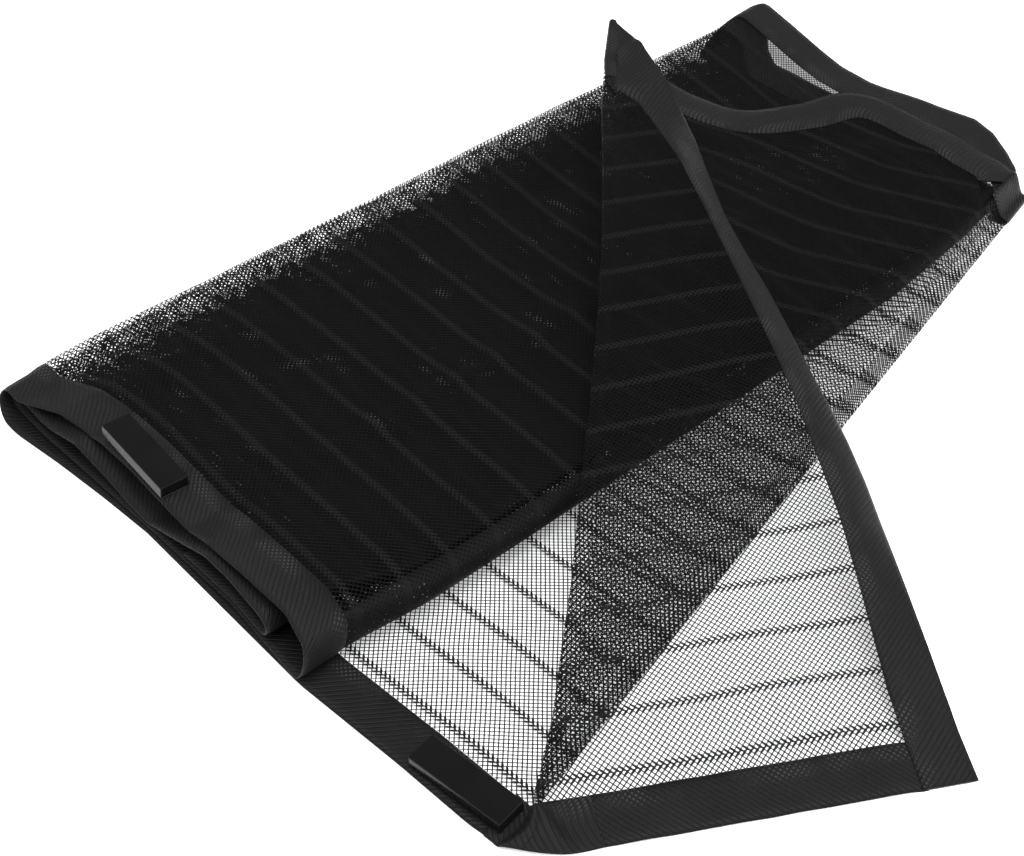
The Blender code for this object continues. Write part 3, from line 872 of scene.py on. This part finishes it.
def build_folds():
    """Strips round the folds: net and hem of both folds, and the hem's corner."""
    p = long_fold(13.2, 462.0, 170, 9.0, fold_reach)
    uv = np.stack((-p[..., 1], sheet_v(p[..., 0], p[..., 1])), -1)
    low = net("net_long_fold", p, uv)
    p = long_fold(461.0, 488.0, 14, 9.5, lambda x: 9.5 + 0 * x)
    uv = np.stack((across_uv(p), np.broadcast_to(np.linspace(HEM, 0, 14)[:, None], p.shape[:2])),
                  -1)
    turn_d = band("hem_d_turn", p.transpose(1, 0, 2), uv.transpose(1, 0, 2))

    t = np.linspace(0.006, 0.955, 200)[:, None]
    p = folded(t, crease_reach(t), 1.7)
    crease = net("net_slant_fold", p, flap_uv(p[..., 0], p[..., 1]))
    t = np.linspace(0.897, 0.999, 44)[:, None]
    p = folded(t, crease_reach(t) + 1.5, 0.1 + 1.3 * smooth((t - 0.9) / 0.035))
    uv = np.stack((t * 500 + 0 * p[..., 0], across_uv(p)), -1)
    tip = band("hem_tip_fold", p, uv)

    end = np.array(flap_plan(17.0, np.array((0.0, 11.0, 22.0))))
    end = np.stack((*end, flap_z(*end)), -1)
    p = spread((*HEM_CORNER, end), 13, 73)
    uv = np.stack((arc_uv(p), np.broadcast_to(np.linspace(0, HEM, 13)[None], p.shape[:2])), -1)
    mid = 41
    corner_low = band("hem_a_corner_low", p[:mid], uv[:mid])
    corner_top = band("hem_a_corner_top", p[mid - 1:], uv[mid - 1:])
    return low, turn_d, crease, tip, corner_low, corner_top


fold_low, fold_d, crease, tip_fold, corner_low, corner_top = build_folds()


# ---- magnets ------------------------------------------------------------------------------
def slab(name, size, bevel, mat):
    """Block with rounded edges; size and bevel in metres."""
    bm = bmesh.new()
    bmesh.ops.create_cube(bm, size=1.0)
    bmesh.ops.scale(bm, vec=(size[1], size[0], size[2]), verts=bm.verts)
    bmesh.ops.subdivide_edges(bm, edges=bm.edges[:], cuts=1, use_grid_fill=True)
    bmesh.ops.bevel(bm, geom=[e for e in bm.edges if e.calc_face_angle(0) > 1.0],
                    offset=bevel, segments=3, affect="EDGES", profile=0.6)
    mesh = bpy.data.meshes.new(name)
    bm.to_mesh(mesh)
    bm.free()
    mesh.polygons.foreach_set("use_smooth", [True] * len(mesh.polygons))
    mesh.materials.append(mat)
    obj = bpy.data.objects.new(name, mesh)
    bpy.context.scene.collection.objects.link(obj)
    mod = obj.modifiers.new("normals", "WEIGHTED_NORMAL")
    mod.keep_sharp = True
    return obj


def build_magnet(stem, place, height, pitch, roll_over, lift):
    """A block on its patch, on the ply whose height is given, leaning by two angles."""
    x, y, turned = place
    hem_top = height(np.array(x), np.array(y)) + 0.65
    made = []
    for name, size, bevel, mat, z in (
            ("patch_" + stem, (MAGNET[0] - 0.6, MAGNET[1] - 0.6, 0.6), 0.2, PATCH, 0.3),
            ("magnet_block_" + stem, MAGNET, 0.45, MAGNET_MAT, 0.6 + 0.5 * MAGNET[2])):
        obj = slab(name, [s * 0.001 for s in size], bevel * 0.001, mat)
        obj.location = metres((x, y, float(hem_top) + z + lift))
        obj.rotation_euler = (math.radians(pitch), math.radians(roll_over), math.radians(turned))
        made.append(obj)
    return made


base_magnet = build_magnet("base", MAGNET_BASE, base_z, 0.0, 0.0, 0.0)
top_magnet = build_magnet("top", MAGNET_TOP, top_z, 6.0, 5.0, 0.5)

# ---- what moves with what -----------------------------------------------------------------
for obj in (roll["net"], roll["a"], roll["d"], *base_magnet, *top_magnet):
    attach(obj, "stack")
for obj in (leaf_net, leaf_hem):
    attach(obj, "leaf")
for obj in (flap_net, flap_end, flap_side):
    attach(obj, "flap")
for obj in (fold_low, fold_d):
    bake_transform(obj)
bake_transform(corner_low)
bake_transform(corner_top)
for obj in (crease, tip_fold):
    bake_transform(obj)

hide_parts("net_base", "net_far_fold", "net_top", "net_near_fold",
            "net_inner_low", "net_inner_far_fold", "net_inner_high", "net_inner_near_fold",
            "net_inner_mid")
for key in "ad":
    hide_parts(*(f"tape_{key}_{part}" for part in (
        "base", "far_fold", "top", "near_fold", "inner_low", "inner_far_fold", "inner_high",
        "inner_near_fold", "inner_mid")))
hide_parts("tape_b_inner")
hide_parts("net_leaf")
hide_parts("tape_d_leaf")
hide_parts("net_flap")
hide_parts("tape_c_flap")
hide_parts("tape_a_flap")
for stem, (pad, block) in (("base", base_magnet), ("top", top_magnet)):
    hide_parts("magnet_pad_" + stem)
    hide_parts("magnet_" + stem)

# ---- floor, light, camera -----------------------------------------------------------------
scene = bpy.context.scene
floor_mat = Nodes("floor")
floor_mat.feed(floor_mat.bsdf, {"Base Color": (0.93, 0.93, 0.93, 1), "Roughness": 0.9,
                                "Specular IOR Level": 0.0,
                                "Emission Color": (1, 1, 1, 1), "Emission Strength": 0.3})
bpy.ops.mesh.primitive_plane_add(size=12.0, location=(0, 0, -0.0001))
floor = bpy.context.object
floor.name = "floor"
floor.data.materials.append(floor_mat.mat)

world = bpy.data.worlds.new("studio")
world.use_nodes = True
world.node_tree.nodes["Background"].inputs["Color"].default_value = (1, 1, 1, 1)
world.node_tree.nodes["Background"].inputs["Strength"].default_value = 0.5
scene.world = world


def softbox(name, place, size, power):
    """Rectangular area light aimed at the object's centre."""
    light = bpy.data.lights.new(name, "AREA")
    light.shape = "RECTANGLE"
    light.size, light.size_y = size
    light.energy = power
    obj = bpy.data.objects.new(name, light)
    scene.collection.objects.link(obj)
    obj.location = place
    obj.rotation_mode = "QUATERNION"
    obj.rotation_quaternion = (-Vector(place)).to_track_quat("-Z", "Y")


softbox("overhead", (-0.25, -0.3, 1.7), (1.4, 1.2), 42)
softbox("window", (-1.4, 0.6, 0.9), (0.9, 0.7), 10)
softbox("front", (0.3, -1.5, 0.9), (1.2, 0.6), 18)

camera = bpy.data.cameras.new("camera")
camera.sensor_width = 36.0
camera.lens = 1650.0 / 1024.0 * 36.0
camera.clip_start, camera.clip_end = 0.01, 50
cam = bpy.data.objects.new("camera", camera)
scene.collection.objects.link(cam)
az, el, away = math.radians(-41.6), math.radians(44.0), 0.8
back = Vector((math.sin(az) * math.cos(el), -math.cos(az) * math.cos(el), math.sin(el)))
cam.location = Vector(metres((150.0, 5.0, 0.0))) + back * away
cam.rotation_mode = "QUATERNION"
cam.rotation_quaternion = (-back).to_track_quat("-Z", "Y")
scene.camera = cam
scene.view_settings.view_transform = "Standard"
scene.cycles.transparent_max_bounces = 32
